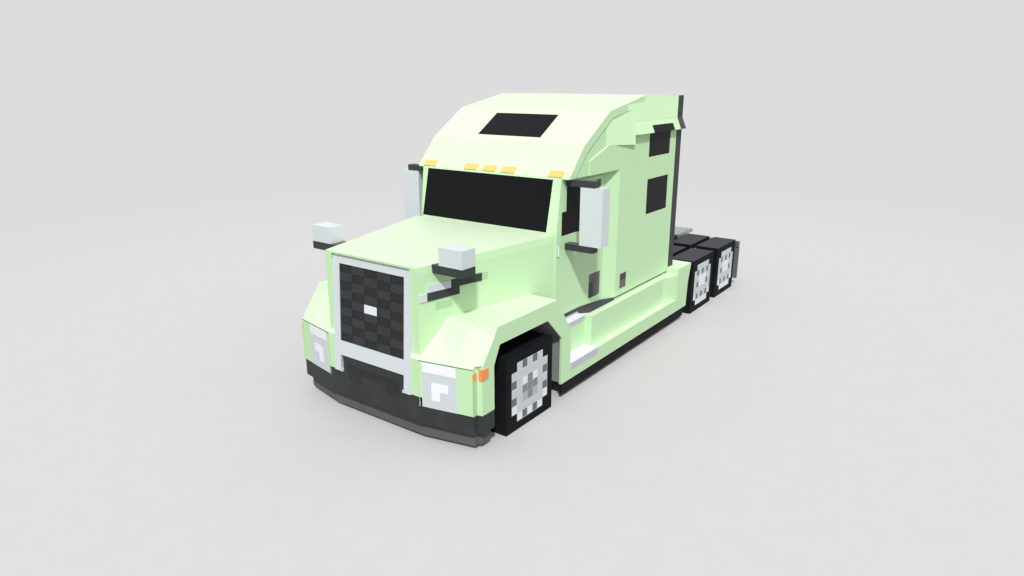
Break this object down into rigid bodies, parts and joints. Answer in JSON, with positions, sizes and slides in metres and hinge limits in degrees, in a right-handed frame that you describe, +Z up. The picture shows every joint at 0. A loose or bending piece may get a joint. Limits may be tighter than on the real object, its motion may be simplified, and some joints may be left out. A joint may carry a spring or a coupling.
{
  "type": "semi truck tractor unit",
  "caption": "Blocky long-nose tractor unit with square wheels, sleeper cab, tilting hood, opening doors, steering front axle and tandem rear axles under a fifth wheel.",
  "frame": {"origin": "on the ground, under the middle of the truck's box", "axes": "+X is the truck's left, +Y its rear, +Z up; the nose points to -Y"},
  "size_m": [3.2, 8.064, 3.53],
  "materials": {
    "mint_paint": "gloss paint on panels",
    "bumper_grey": "satin dark grey paint",
    "trim_grey": "satin grey plastic lip",
    "silver_paint": "satin silver grey",
    "mesh_black": "matt black grille",
    "black_plastic": "matt black",
    "lamp_lens": "clear lens over a white reflector",
    "amber_lens": "amber lens",
    "red_lens": "red lens",
    "dark_glass": "tinted",
    "tyre": "black rubber",
    "rim_metal": "satin cast aluminium",
    "frame_black": "black chassis paint",
    "cast_iron": "painted casting",
    "steel": "machined steel",
    "aluminium": "bare aluminium",
    "deck_plate": "matt light grey plate",
    "fabric": "woven seat cloth",
    "rubber_flap": "grey rubber"
  },
  "bodies": {
    "chassis": {"frame": "frame_black", "front_axle": "cast_iron", "rear_axles": "cast_iron", "bumper": "bumper_grey", "air_dam": "trim_grey", "engine": "cast_iron", "radiator": "aluminium", "fuel_tanks": "aluminium", "cab": "mint_paint", "sleeper": "mint_paint", "roof": "mint_paint", "glazing": "dark_glass", "marker_lights": "amber_lens", "side_extenders": "black_plastic", "fairing_left": "mint_paint", "fairing_right": "mint_paint", "skirts": "black_plastic", "steps": "silver_paint", "rear_deck": "deck_plate", "rear_bar": "deck_plate", "tail_lamps": "red_lens", "mudflaps": "rubber_flap", "fifth_wheel_base": "cast_iron", "seats_and_bunk": "fabric", "dashboard": "black_plastic", "hinges": "steel"},
    "hood": {"hood": "mint_paint", "grille_surround": "silver_paint", "grille_mesh": "mesh_black", "headlights": "lamp_lens", "turn_signals": "amber_lens", "hood_mirrors": "silver_paint", "hood_mirror_brackets": "black_plastic"},
    "fifth_wheel": {"fifth_wheel_plate": "deck_plate"},
    "steering_wheel": {"steering_wheel": "black_plastic"},
    "tie_rod": {"tie_rod": "steel"},
    "door_left": {"door_left": "mint_paint", "door_glass_left": "dark_glass", "door_fittings_left": "black_plastic", "side_mirror_left": "silver_paint"},
    "knuckle_left": {"knuckle_left": "cast_iron"},
    "wheel_front_left": {"tyre_front_left": "tyre", "rim_front_left": "rim_metal"},
    "wheel_rear_front_left": {"tyres_rear_front_left": "tyre", "rim_rear_front_left": "rim_metal"},
    "wheel_rear_rear_left": {"tyres_rear_rear_left": "tyre", "rim_rear_rear_left": "rim_metal"},
    "door_right": {"door_right": "mint_paint", "door_glass_right": "dark_glass", "door_fittings_right": "black_plastic", "side_mirror_right": "silver_paint"},
    "knuckle_right": {"knuckle_right": "cast_iron"},
    "wheel_front_right": {"tyre_front_right": "tyre", "rim_front_right": "rim_metal"},
    "wheel_rear_front_right": {"tyres_rear_front_right": "tyre", "rim_rear_front_right": "rim_metal"},
    "wheel_rear_rear_right": {"tyres_rear_rear_right": "tyre", "rim_rear_rear_right": "rim_metal"}
  },
  "joints": [
    {"name": "door_left_hinge", "type": "hinge", "parent": "chassis", "child": "door_left", "pos_m": [1.112, -1.944, 1.751], "axis": [0, 0, -1], "range_deg": [0, 70]},
    {"name": "steer_left", "type": "hinge", "parent": "chassis", "child": "knuckle_left", "pos_m": [1.2, -2.951, 0.45], "axis": [0, 0, 1], "range_deg": [-35, 35]},
    {"name": "wheel_front_left_spin", "type": "hinge", "parent": "knuckle_left", "child": "wheel_front_left", "pos_m": [1.2, -2.951, 0.45], "axis": [1, 0, 0], "continuous": true},
    {"name": "wheel_rear_front_left_spin", "type": "hinge", "parent": "chassis", "child": "wheel_rear_front_left", "pos_m": [0.95, 2.177, 0.45], "axis": [1, 0, 0], "continuous": true},
    {"name": "wheel_rear_rear_left_spin", "type": "hinge", "parent": "chassis", "child": "wheel_rear_rear_left", "pos_m": [0.95, 3.292, 0.45], "axis": [1, 0, 0], "continuous": true},
    {"name": "door_right_hinge", "type": "hinge", "parent": "chassis", "child": "door_right", "pos_m": [-1.112, -1.944, 1.751], "axis": [0, 0, 1], "range_deg": [0, 70]},
    {"name": "steer_right", "type": "hinge", "parent": "chassis", "child": "knuckle_right", "pos_m": [-1.2, -2.951, 0.45], "axis": [0, 0, 1], "range_deg": [-35, 35]},
    {"name": "wheel_front_right_spin", "type": "hinge", "parent": "knuckle_right", "child": "wheel_front_right", "pos_m": [-1.2, -2.951, 0.45], "axis": [1, 0, 0], "continuous": true},
    {"name": "wheel_rear_front_right_spin", "type": "hinge", "parent": "chassis", "child": "wheel_rear_front_right", "pos_m": [-0.95, 2.177, 0.45], "axis": [1, 0, 0], "continuous": true},
    {"name": "wheel_rear_rear_right_spin", "type": "hinge", "parent": "chassis", "child": "wheel_rear_rear_right", "pos_m": [-0.95, 3.292, 0.45], "axis": [1, 0, 0], "continuous": true},
    {"name": "hood_tilt", "type": "hinge", "parent": "chassis", "child": "hood", "pos_m": [0, -4.02, 0.527], "axis": [1, 0, 0], "range_deg": [0, 70]},
    {"name": "tie_rod_pivot", "type": "hinge", "parent": "knuckle_left", "child": "tie_rod", "pos_m": [0.9, -2.781, 0.38], "axis": [0, 0, 1], "range_deg": [-48, 48]},
    {"name": "steering_wheel_turn", "type": "hinge", "parent": "chassis", "child": "steering_wheel", "pos_m": [0.52, -1.548, 1.85], "axis": [0, 0.766, 0.6428], "range_deg": [-630, 630]},
    {"name": "fifth_wheel_tilt", "type": "hinge", "parent": "chassis", "child": "fifth_wheel", "pos_m": [0, 2.732, 0.84], "axis": [1, 0, 0], "range_deg": [-10, 10]}
  ],
  "couplings": [
    {"joint": "steer_right", "follows": "steer_left", "ratio": 1},
    {"joint": "tie_rod_pivot", "follows": "steer_left", "ratio": -1.329},
    {"joint": "steering_wheel_turn", "follows": "steer_left", "ratio": 18}
  ]
}
